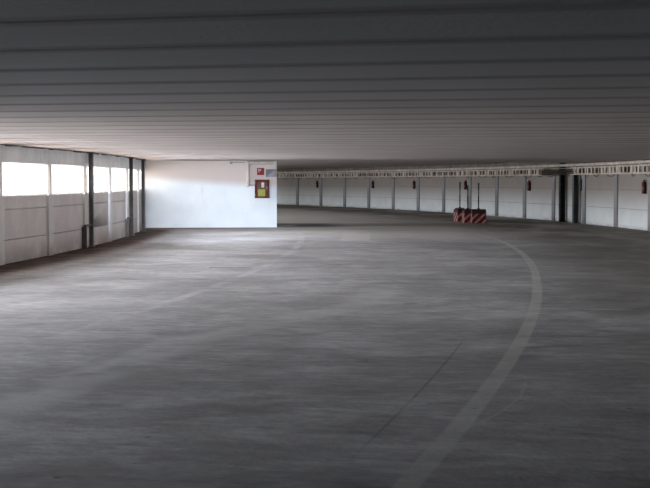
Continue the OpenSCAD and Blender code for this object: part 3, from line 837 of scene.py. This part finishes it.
riser_paint = painted_pipe("white_gloss_pipe_paint", "cfc5bc", "c3b8ae", "8f8377", 0.4, 0.5)
dress(riser_paint, 0, "riser_pipe")
RISER_D = 0.0125
RISER_S = 0.105
RISER_END = 0.012
RISER_OUT = RISER_D / 2 + 0.001
RISER_TOP = CLEAR_H - RISER_D / 2 - 0.001
BRANCH_Z = 0.157
SOCKET_L = 0.006
SOCKET_GROW = 0.0009

ALONG_X = Matrix.Rotation(math.pi / 2, 4, "Y")
ALONG_Y = Matrix.Rotation(math.pi / 2, 4, "X")
sockets = bmesh.new()
for up in (RISER_TOP - 0.011, BRANCH_Z + 0.011, BRANCH_Z + 0.045):
    rod(sockets, on_fin(RISER_S, up, RISER_OUT), RISER_D / 2 + SOCKET_GROW, SOCKET_L)
for back in (RISER_S - 0.011, RISER_END + 0.03, RISER_END + 0.002):
    rod(sockets, on_fin(back, RISER_TOP, RISER_OUT) @ ALONG_X, RISER_D / 2 + SOCKET_GROW * 0.9,
        SOCKET_L * 0.8)
add_piece("riser_sockets", sockets, riser_paint, 0.0004)


# Hose cabinet. A folded steel box, painted a red that has gone brown, screwed to the fin. Its
# door has a dull dark pane in a red frame, with two blank cards behind it and a latch at one side.
cabinet_paint = painted_pipe("red_cabinet_enamel", "6b2614", "5c2011", "34120b", 0.5, 0.45)
dress(cabinet_paint, 0.004, "hose_cabinet")
frame_paint = painted_pipe("faded_red_door_frame", "6f2715", "602010", "38140b", 0.4, 0.45)
dress(frame_paint, 0.003, "cabinet_front")
CABINET_S = 0.055
CABINET_Z = 0.143
CABINET_W = 0.051
CABINET_H = 0.067
CABINET_D = 0.02
pane_paint = faded_finish("dusty_red_pane", "48200f", "5a2a14", 0.15, 0.25, 0.5, 0.0005, IOR=1.49,
                          Coat_Weight=0.3)
door = on_fin(CABINET_S, CABINET_Z)
pane = bmesh.new()
block(pane, door, (CABINET_W - 0.017, 0.0008, CABINET_H - 0.0172), (0, -CABINET_D + 0.001, 0))
add_piece("cabinet_pane", pane, pane_paint)

card_white = faded_finish("blank_white_card", "d8d6cf", "c5c1b8", 0.06, 0.5, 0.7, 0.0002)
card_yellow = faded_finish("blank_yellow_card", "a9a24a", "869642", 0.06, 0.5, 0.7, 0.0002)
CARDS = (("cabinet_card_white", card_white, (0.01, 0.018), 0.003, 0.014),
         ("cabinet_card_yellow", card_yellow, (0.026, 0.026), -0.0015, -0.014))
for name, paper, size, right, up in CARDS:
    card = bmesh.new()
    block(card, door, (size[0], 0.0004, size[1]), (right, -CABINET_D + 0.0004, up))
    add_piece(name, card, paper, 0.0001)

latch = bmesh.new()
block(latch, door, (0.0022, 0.003, 0.01), (CABINET_W / 2 - 0.007, -CABINET_D, 0.004))
for up in (-0.022, 0.022):
    rod(latch, door, 0.0011, 0.008, 12, (-CABINET_W / 2 + 0.002, -CABINET_D + 0.0002, up))
add_piece("cabinet_latch_and_hinges", latch, zinc, 0.0003)


# Sign and flat box. The square sign is a plain red plate with a few pale generic bars on it, and
# the box beside it is a thin steel case in grey-lilac enamel, with a painted dark reflection across
# one corner.
sign_paint = faded_finish("red_sign_plate", "8f1518", "7f1416", 0.12, 0.35, 0.5, 0.0002)
dress(sign_paint, 0.002, "fire_sign")
SIGN_S = 0.059
SIGN_Z = 0.206
bars = bmesh.new()
sign = on_fin(SIGN_S, SIGN_Z)
for right, up, wide, high in (
        (-0.0065, 0.0062, 0.0048, 0.006), (-0.0005, 0.0075, 0.004, 0.0026),
        (-0.0005, 0.0035, 0.004, 0.0026), (-0.0065, -0.0008, 0.0048, 0.0026)):
    block(bars, sign, (wide, 0.0003, high), (right, -0.00115, up))
add_piece("sign_bars", bars, card_white)

box_paint, shader, ring = ring_material("lilac_grey_enamel")
cloudy = clouds(ring, 0.2)
colour = coat("918c8e", "9d9898", cloudy)
BOX_S = 0.0215
BOX_Z = 0.2
BOX_LEAN = 0.74
# A painted dark reflection lies across the box's upper corner by the wall
leaning = add_node("Math", ring.radius, -BOX_LEAN, ring.height, operation="MULTIPLY_ADD")
corner = BOX_Z * REAL - BOX_LEAN * (FIN_END_R - BOX_S) * REAL
painted_dark_reflection = add_node("MapRange", leaning, corner - 0.03, corner + 0.07, **SOFT)
colour = coat(colour, "66676f", 0.85, painted_dark_reflection)
surface(shader, colour, cloudy, 0.35, 0.55, cloudy, 0.0005)
dress(box_paint, 0.006, "signal_box")
lid = bmesh.new()
block(lid, on_fin(BOX_S, BOX_Z), (0.031, 0.0008, 0.023), (0, -0.0064, 0))
add_piece("signal_box_lid", lid, box_paint, 0.0004)
lid_screws = bmesh.new()
for right in (-0.013, 0.013):
    for up in (-0.009, 0.009):
        screw = on_fin(BOX_S - right, BOX_Z + up, 0.007) @ ALONG_Y
        rod(lid_screws, screw, 0.0008, 0.0006, 10)
add_piece("signal_box_screws", lid_screws, zinc)

# A small grey junction box and its conduit, high on the fin beside the riser
junction = bmesh.new()
block(junction, on_fin(0.166, CLEAR_H - 0.0075), (0.01, 0.006, 0.008), (0, -0.003, 0))
conduit = on_fin(0.139, CLEAR_H - 0.0065, 0.0018) @ ALONG_X
rod(junction, conduit, 0.0013, 0.046, 10)
add_piece("fin_junction_box", junction, zinc, 0.0004)


# Water pipe. A large sprinkler main, painted a pale beige, that runs under the planks along the
# outer wall. Its lengths are joined by bolted couplings, and clevis hangers carry it.
PIPE_D = 0.0114
PIPE_UNDER = 0.003
LADDER_T = 0.003
LADDER_X = -0.036
PIPE_X = LADDER_X + LADDER_T - 0.0003 - PIPE_D / 2
PIPE_Z = floor_z(1) + CLEAR_H - PIPE_UNDER - PIPE_D / 2
pipe_paint = painted_pipe("beige_pipe_paint", "c9bfb4", "b8ada2", "7c7066", 0.5)
dress(pipe_paint, 0, "water_pipe")
hanger_zinc = painted_pipe("galvanised_hanger_steel", "a09a92", "8d877f", "6d5f52", 0.5, 0.45)
dress(hanger_zinc, 0.002, "pipe_hangers")

COUPLING_L = 0.006
COUPLING_GROW = 0.0018
couplings = bmesh.new()
for line in range(1 - END_LINE, END_LINE):
    place = at_line(line, True, PIPE_Z, PIPE_X) @ ALONG_Y
    rod(couplings, place, PIPE_D / 2 + COUPLING_GROW * 0.6, COUPLING_L, 20)
    for side in (-1, 1):
        lug = at_line(line, True, PIPE_Z + side * (PIPE_D / 2 + 0.0014))
        block(couplings, lug, (0.0032, COUPLING_L, 0.002), (PIPE_X, 0, 0))
for line in range(-END_LINE, END_LINE):
    ring_clip = at_panel(line, True, PIPE_Z, PIPE_X) @ ALONG_Y
    rod(couplings, ring_clip, PIPE_D / 2 + 0.0005, 0.0026, 20)
add_piece("pipe_couplings", couplings, pipe_paint, 0.0004)


# Cable ladder. Two beige rails with plates between them, standing on edge beside the main. Dark
# and grey cables are clipped along it, and spare cable sags below it in loose loops.
LADDER_H = 0.032
LADDER_R = OUTER_R * math.cos(POST_STEP / 2) + LADDER_X
LADDER_Z = PIPE_Z - PIPE_D / 2 - 0.0026 - LADDER_H
LADDER_STOP = JOINT_LINE + 0.2
LADDER_START = JOINT_LINE + 1.1
ladder_paint = painted_pipe("beige_ladder_paint", "c3b8ab", "b3a89c", "7b7066", 0.6, 0.45)
dress(ladder_paint, 0.002, "cable_ladder")

# Flat plates of uneven width stand between the rails, with dark slots between them
PLATES_PER_PANEL = 9
plate_random = random.Random(7)
rungs = bmesh.new()
for line in range(-END_LINE, END_LINE):
    for n in range(PLATES_PER_PANEL):
        share = (n + 0.5 + plate_random.uniform(-0.22, 0.22)) / PLATES_PER_PANEL
        wide = plate_random.choice((0.01, 0.018, 0.026, 0.034))
        if LADDER_STOP - 0.03 < line + share < LADDER_START + 0.03:
            continue
        place = at_panel(line, True, LADDER_Z + LADDER_H / 2)
        block(rungs, place, (0.002, wide, LADDER_H - 0.002),
              (LADDER_X + 0.0012, (share - 0.5) * (CHORD_OUT - 0.022), 0))
add_piece("ladder_rungs", rungs, ladder_paint)

# The cables lie against the plates on the wall side. Each follows the ladder from end to end,
# wanders a little up and down, and passes in front of the columns where the ladder stops.
grey_cable = painted_pipe("dusty_grey_cable_sheath", "544a42", "453c36", "332d29", 0.5, 0.4)
dark_cable = painted_pipe("black_cable_sheath", "1e1d1c", "2a2826", "3b3733", 0.4, 0.4)
cable_random = random.Random(11)


def cable(name, runs, radius, material):
    """Round cables, each along a run of points."""
    data = bpy.data.curves.new(name, "CURVE")
    data.dimensions = "3D"
    data.bevel_depth = radius
    data.bevel_resolution = 1
    data.resolution_u = 3
    data.use_fill_caps = True
    for spots in runs:
        spline = data.splines.new("POLY")
        spline.points.add(len(spots) - 1)
        for point, spot in zip(spline.points, spots):
            point.co = (*spot, 1.0)
    made = add_object(name, data)
    data.materials.append(material)
    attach(made, "root")


CABLE_STEPS = 6
ladder_cables = ((0.0052, 0.0014, dark_cable), (0.0085, 0.0017, grey_cable),
                 (0.0125, 0.0013, dark_cable), (0.016, 0.0017, dark_cable),
                 (0.02, 0.0014, grey_cable), (0.024, 0.0016, dark_cable))
for number, (up, radius, sheath) in enumerate(ladder_cables):
    spots = []
    for n in range(2 * END_LINE * CABLE_STEPS + 1):
        line = -END_LINE + n / CABLE_STEPS
        wander = cable_random.uniform(-0.0012, 0.0012)
        in_gap = LADDER_STOP - 0.2 < line < LADDER_START + 0.1
        across = LADDER_R
        across += -0.0006 - radius if in_gap else 0.0035 + radius
        gap_share = (line - LADDER_STOP) / (LADDER_START - LADDER_STOP)
        sag = -0.005 * math.sin(math.pi * min(1.0, max(0.0, gap_share)))
        spots.append(ring_spot(across, line, LADDER_Z + up + wander + sag))
    cable(f"ladder_cable_{number}", [spots], radius, sheath)

# A pale conduit bridges the gap at the upper rail
CONDUIT_UP = LADDER_H - 0.004
conduit_spots = [ring_spot(LADDER_R - 0.001, LADDER_STOP - 0.1 + 0.1 * n,
                           LADDER_Z + CONDUIT_UP) for n in range(12)]
cable("gap_conduit", [conduit_spots], 0.0013, ladder_paint)

# Spare cable hangs under the lower rail in loose loops, some in every bay
LOOP_POINTS = 9
LOOPS_PER_PANEL = 2
loops = []
for number in range(2 * END_LINE * LOOPS_PER_PANEL):
    middle = -END_LINE + (number + cable_random.uniform(0.2, 0.8)) / LOOPS_PER_PANEL
    span = cable_random.uniform(0.08, 0.3)
    deep = cable_random.uniform(0.004, 0.009)
    spots = []
    for n in range(LOOP_POINTS):
        share = n / (LOOP_POINTS - 1)
        down = deep * 4 * share * (1 - share)
        along = middle + (share - 0.5) * span
        spots.append(ring_spot(LADDER_R - 0.0012, along, LADDER_Z - 0.0008 - down))
    loops.append(spots)
cable("hanging_cables", loops, 0.0015, grey_cable)


# Fire extinguishers. Dark red steel bottles on wall brackets, each with a black valve head, a
# short hose down its side, a small gauge and a blank faded label.
EXT_D = 0.0156
EXT_H = 0.04
EXT_Z = 0.15
EXT_LINES = [line + (-0.2 if line in (3, 9) else 0.13)
             for line in range(2 - END_LINE, END_LINE - 1, 2) if line != JOINT_LINE]
bottle_paint = painted_pipe("dark_red_bottle_enamel", "5a1016", "4a0d12", "300a0e", 0.3, 0.3)
dress(bottle_paint, 0.006, "extinguishers")
valve_plastic = painted_pipe("black_valve_plastic", "1b1a1a", "252423", "3b3936", 0.3, 0.4)
dress(valve_plastic, 0.002, "extinguisher_valves")

label_paper = painted_pipe("blank_bottle_label", "6f5049", "634640", "48302c", 0.3, 0.5)
labels = bmesh.new()
hoses = bmesh.new()
for line in EXT_LINES:
    turned = (line - math.floor(line) - 0.5) * POST_STEP
    sag = OUTER_R * (1 - math.cos(POST_STEP / 2) / math.cos(turned))
    bottle = at_line(line, True, floor_z(1) + EXT_Z - 0.003, -sag - EXT_D / 2)
    rod(labels, bottle, EXT_D / 2 + 0.0002, 0.013, at=(0, 0, -0.002))
    away = []
    for face in labels.faces:
        middle = bottle.inverted() @ face.calc_center_median()
        if middle.x > -EXT_D * 0.3 and middle.length < 0.02:
            away.append(face)
    bmesh.ops.delete(labels, geom=away, context="FACES")
    hose_top = bottle @ Matrix.Translation((-0.002, -0.006, EXT_H / 2 - 0.012))
    rod(hoses, hose_top, 0.001, 0.026, 10, (0, -0.0022, 0))
    rod(hoses, hose_top, 0.0015, 0.01, 10, (0, -0.0022, -0.016))
    rod(hoses, bottle @ Matrix.Translation((-0.0026, 0, EXT_H / 2 + 0.0075)) @ ALONG_X, 0.0014,
        0.0012, 12)
bmesh.ops.solidify(labels, geom=labels.faces, thickness=0.0001)
add_piece("extinguisher_labels", labels, label_paper)
add_piece("extinguisher_hoses", hoses, valve_plastic)

# A slim extinguisher hangs on the panel beside the post at the movement joint. It is coloured
# black, which stands in for the shade it hangs in.
slim = bmesh.new()
slim_place = at_line(JOINT_LINE + 0.065, True, floor_z(1) + 0.152, -0.0065)
rod(slim, slim_place, 0.005, 0.038, 16)
bmesh.ops.create_cone(slim, cap_ends=True, segments=16, radius1=0.005, radius2=0.0015, depth=0.006,
                      matrix=slim_place @ Matrix.Translation((0, 0, 0.022)))
block(slim, slim_place, (0.003, 0.009, 0.003), (0, 0, 0.0265))
add_piece("slim_extinguisher_in_painted_shade", slim, valve_plastic, 0.0003)


# Barrier stands. Hollow plastic blocks, red and white, filled with sand, with a domed dark cap and
# a steel pole wound with black tape that carries a barrier tape when the lane is closed.
stripes, shader, ring = ring_material("striped_moulded_plastic")
x, y, z = add_node("SeparateXYZ", ring.point).node.outputs
slope = add_node("Math", x, y, operation="ADD")
slope = add_node("Math", slope, -9.0, ring.height, operation="MULTIPLY_ADD")
band = add_node("Math", slope, 0.29, operation="FLOORED_MODULO")
red = stripe(band, 0.145, 0.085, 0.015)
colour = coat("bd9c9b", "741a22", red)
cap = add_node("MapRange", ring.height, 0.35, 0.42)
colour = coat(colour, "3d2626", cap)
dust = clouds(ring, 0.16, 0.4, 0.7, 5.0)
colour = coat(colour, "5d4b46", 0.45, dust)
surface(shader, colour, dust, 0.4, 0.65, dust, 0.001)
dress(stripes, 0.012, "barrier_blocks")

pole_tape, shader, ring = ring_material("black_taped_pole")
TAPE_STEP = 0.555
TAPE_HALF = 0.15
TAPE_MIDDLE = 0.95
turns = add_node("Math", ring.height, TAPE_STEP, operation="FLOORED_MODULO")
taped = stripe(turns, TAPE_MIDDLE - TAPE_STEP, TAPE_HALF, 0.02)
worn = clouds(ring, 0.05, detail=3.0)
colour = coat("4b4948", "5d5b59", worn)
colour = coat(colour, "060606", taped)
surface(shader, colour, taped, 0.35, 0.55, taped, 0.001)
dress(pole_tape, 0, "barrier_poles")
STANDS = ((0.43, 0.88, 0.167), (0.443, 0.4, 0.153), (0.411, 0.26, 0.163))
knobs = bmesh.new()
for back, past, top in STANDS:
    pole = Matrix.Translation(ring_spot(OUTER_R - back, JOINT_LINE + past, floor_z(1)))
    rod(knobs, pole, 0.003, 0.022, 14, (0, 0, top - 0.01))
    rod(knobs, pole, 0.0055, 0.004, 14, (0, 0, 0.0585))
add_piece("barrier_pole_sleeves", knobs, valve_plastic, 0.0006)
